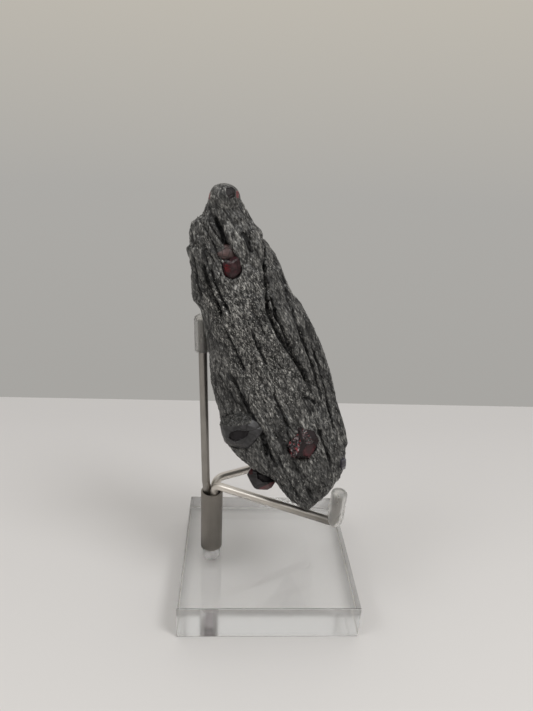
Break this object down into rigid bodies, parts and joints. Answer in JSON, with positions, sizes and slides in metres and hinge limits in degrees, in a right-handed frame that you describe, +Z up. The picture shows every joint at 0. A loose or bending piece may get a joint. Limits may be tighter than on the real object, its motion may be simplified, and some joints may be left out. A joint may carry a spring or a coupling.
{
  "type": "garnet in matrix on display stand",
  "caption": "Leaning slab of dark glittering mica schist with red garnet crystals set in it, held on a small display stand with a steel post, wire cradle and clear acrylic block.",
  "frame": {"origin": "centre of the acrylic block's underside", "axes": "+Z up, +X the way the cradle arms point (to the right in the picture), +Y away from the viewer; block edges along X and Y"},
  "size_m": [0.05, 0.05, 0.1172],
  "materials": {
    "acrylic": "clear polished acrylic",
    "screw_steel": "plain steel",
    "stand_steel": "fine drawn satin",
    "sleeve": "clear soft vinyl, slightly cloudy",
    "schist": "rough foliated, glittering with mica",
    "garnet": "glassy, dark red",
    "garnet_coated": "satin, graphite coated"
  },
  "bodies": {
    "root": {"base_block": "acrylic", "base_stud": "screw_steel", "post": "stand_steel", "back_rod": "stand_steel", "near_arm": "stand_steel", "far_arm": "stand_steel", "near_sleeve": "sleeve", "far_sleeve": "sleeve", "back_sleeve": "sleeve", "matrix": "schist", "garnet_crown": "garnet", "garnet_upper": "garnet", "garnet_upper_cap": "garnet_coated", "garnet_left": "garnet_coated", "garnet_lower_edge": "garnet", "garnet_right": "garnet", "garnet_edge_chip": "garnet", "garnet_back_middle": "garnet", "garnet_back_low": "garnet_coated"}
  },
  "joints": []
}
